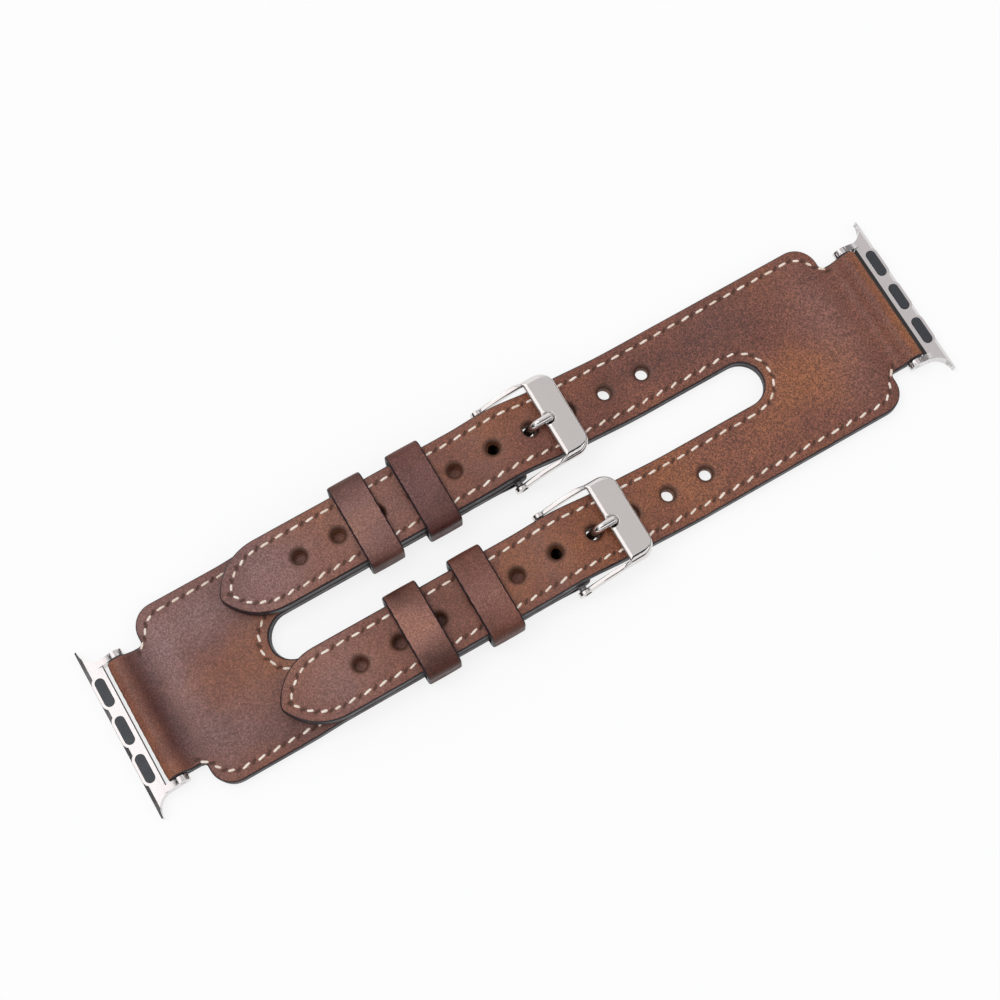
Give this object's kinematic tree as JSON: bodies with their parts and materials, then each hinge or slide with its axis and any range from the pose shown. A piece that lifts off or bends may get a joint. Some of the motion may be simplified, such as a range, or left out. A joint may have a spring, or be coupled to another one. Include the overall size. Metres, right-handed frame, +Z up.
{
  "type": "leather watch band",
  "caption": "Wide leather watch band that parts into narrow straps with pin buckles and keepers, with slide-in steel adapters at its ends, modelled buckled and laid flat.",
  "frame": {"origin": "middle of the laid-out band, on the surface that it lies on", "axes": "+X along the band from the buckle half to the tongue half, +Y across it towards the upper strap, +Z up from the surface, out of the leather's face"},
  "size_m": [0.1644, 0.0396, 0.0076],
  "materials": {
    "leather_outer": "oiled saddle-brown leather with pull-up mottling, dark painted edges and cream stitching",
    "leather_lining": "smooth tan lining leather",
    "leather_keeper": "oiled saddle-brown leather with dark painted edges",
    "polished_steel": "mirror polished steel",
    "satin_steel": "fine satin steel with polished edges",
    "spring_bar_steel": "drawn steel",
    "spring_wire": "spring steel",
    "dark_pads": "matt charcoal"
  },
  "bodies": {
    "band": {"buckle_half_outer": "leather_outer", "buckle_half_lining": "leather_lining", "tongue_half_outer": "leather_outer", "tongue_half_lining": "leather_lining", "upper_fixed_keeper": "leather_keeper", "lower_fixed_keeper": "leather_keeper", "upper_pin_tube": "spring_bar_steel", "lower_pin_tube": "spring_bar_steel", "upper_pin_spring": "spring_wire", "lower_pin_spring": "spring_wire", "buckle_end_bar_tube": "spring_bar_steel", "tongue_end_bar_tube": "spring_bar_steel", "buckle_end_bar_spring": "spring_wire", "tongue_end_bar_spring": "spring_wire"},
    "upper_slider": {"upper_sliding_keeper": "leather_keeper"},
    "upper_buckle": {"upper_buckle_frame": "polished_steel"},
    "upper_prong_arm": {"upper_prong": "polished_steel"},
    "lower_slider": {"lower_sliding_keeper": "leather_keeper"},
    "lower_buckle": {"lower_buckle_frame": "polished_steel"},
    "lower_prong_arm": {"lower_prong": "polished_steel"},
    "buckle_end_clasp": {"buckle_end_adapter": "satin_steel", "buckle_end_side_pads": "dark_pads", "buckle_end_latch_spring": "spring_wire"},
    "buckle_end_button": {"buckle_end_latch_button": "dark_pads"},
    "tongue_end_clasp": {"tongue_end_adapter": "satin_steel", "tongue_end_side_pads": "dark_pads", "tongue_end_latch_spring": "spring_wire"},
    "tongue_end_button": {"tongue_end_latch_button": "dark_pads"},
    "upper_pin_outer_tip_pin": {"upper_pin_outer_tip": "spring_bar_steel"},
    "upper_pin_inner_tip_pin": {"upper_pin_inner_tip": "spring_bar_steel"},
    "lower_pin_outer_tip_pin": {"lower_pin_outer_tip": "spring_bar_steel"},
    "lower_pin_inner_tip_pin": {"lower_pin_inner_tip": "spring_bar_steel"},
    "buckle_end_bar_upper_tip_pin": {"buckle_end_bar_upper_tip": "spring_bar_steel"},
    "buckle_end_bar_lower_tip_pin": {"buckle_end_bar_lower_tip": "spring_bar_steel"},
    "tongue_end_bar_upper_tip_pin": {"tongue_end_bar_upper_tip": "spring_bar_steel"},
    "tongue_end_bar_lower_tip_pin": {"tongue_end_bar_lower_tip": "spring_bar_steel"}
  },
  "joints": [
    {"name": "buckle_end_swivel", "type": "hinge", "parent": "band", "child": "buckle_end_clasp", "pos_m": [-0.0761, 0, 0.0021], "axis": [0, 1, 0], "range_deg": [-90, 120]},
    {"name": "tongue_end_swivel", "type": "hinge", "parent": "band", "child": "tongue_end_clasp", "pos_m": [0.0761, 0, 0.0021], "axis": [0, -1, 0], "range_deg": [-90, 120]},
    {"name": "buckle_end_latch_press", "type": "slide", "parent": "buckle_end_clasp", "child": "buckle_end_button", "axis": [0, 0, -1], "range_m": [0, 0.00045], "stiffness_N_per_m": 300, "springref_m": -0.0005, "deforming": ["buckle_end_latch_spring"]},
    {"name": "tongue_end_latch_press", "type": "slide", "parent": "tongue_end_clasp", "child": "tongue_end_button", "axis": [0, 0, -1], "range_m": [0, 0.00045], "stiffness_N_per_m": 300, "springref_m": -0.0005, "deforming": ["tongue_end_latch_spring"]},
    {"name": "upper_buckle_lift", "type": "hinge", "parent": "band", "child": "upper_buckle", "pos_m": [0.0013, 0.01115, 0.00245], "axis": [0, -1, 0], "range_deg": [0, 3]},
    {"name": "upper_prong_lift", "type": "hinge", "parent": "band", "child": "upper_prong_arm", "pos_m": [0.0013, 0.01115, 0.00245], "axis": [0, -1, 0], "range_deg": [0, 3]},
    {"name": "lower_buckle_lift", "type": "hinge", "parent": "band", "child": "lower_buckle", "pos_m": [0.0013, -0.01115, 0.00245], "axis": [0, -1, 0], "range_deg": [0, 3]},
    {"name": "lower_prong_lift", "type": "hinge", "parent": "band", "child": "lower_prong_arm", "pos_m": [0.0013, -0.01115, 0.00245], "axis": [0, -1, 0], "range_deg": [0, 3]},
    {"name": "upper_slider_slide", "type": "slide", "parent": "band", "child": "upper_slider", "axis": [1, 0, 0], "range_m": [-0.016, 0.005]},
    {"name": "lower_slider_slide", "type": "slide", "parent": "band", "child": "lower_slider", "axis": [1, 0, 0], "range_m": [-0.0148, 0.0062]},
    {"name": "upper_pin_outer_tip_press", "type": "slide", "parent": "band", "child": "upper_pin_outer_tip_pin", "axis": [0, -1, 0], "range_m": [0, 0.0009], "stiffness_N_per_m": 300, "springref_m": -0.001, "deforming": ["upper_pin_spring"]},
    {"name": "upper_pin_inner_tip_press", "type": "slide", "parent": "band", "child": "upper_pin_inner_tip_pin", "axis": [0, 1, 0], "range_m": [0, 0.0009], "stiffness_N_per_m": 300, "springref_m": -0.001},
    {"name": "lower_pin_outer_tip_press", "type": "slide", "parent": "band", "child": "lower_pin_outer_tip_pin", "axis": [0, 1, 0], "range_m": [0, 0.0009], "stiffness_N_per_m": 300, "springref_m": -0.001, "deforming": ["lower_pin_spring"]},
    {"name": "lower_pin_inner_tip_press", "type": "slide", "parent": "band", "child": "lower_pin_inner_tip_pin", "axis": [0, -1, 0], "range_m": [0, 0.0009], "stiffness_N_per_m": 300, "springref_m": -0.001},
    {"name": "buckle_end_bar_upper_tip_press", "type": "slide", "parent": "band", "child": "buckle_end_bar_upper_tip_pin", "axis": [0, -1, 0], "range_m": [0, 0.0013], "stiffness_N_per_m": 300, "springref_m": -0.001, "deforming": ["buckle_end_bar_spring"]},
    {"name": "buckle_end_bar_lower_tip_press", "type": "slide", "parent": "band", "child": "buckle_end_bar_lower_tip_pin", "axis": [0, 1, 0], "range_m": [0, 0.0013], "stiffness_N_per_m": 300, "springref_m": -0.001},
    {"name": "tongue_end_bar_upper_tip_press", "type": "slide", "parent": "band", "child": "tongue_end_bar_upper_tip_pin", "axis": [0, -1, 0], "range_m": [0, 0.0013], "stiffness_N_per_m": 300, "springref_m": -0.001, "deforming": ["tongue_end_bar_spring"]},
    {"name": "tongue_end_bar_lower_tip_press", "type": "slide", "parent": "band", "child": "tongue_end_bar_lower_tip_pin", "axis": [0, 1, 0], "range_m": [0, 0.0013], "stiffness_N_per_m": 300, "springref_m": -0.001}
  ],
  "couplings": [
    {"joint": "upper_prong_lift", "follows": "upper_buckle_lift", "ratio": 1},
    {"joint": "lower_prong_lift", "follows": "lower_buckle_lift", "ratio": 1}
  ]
}
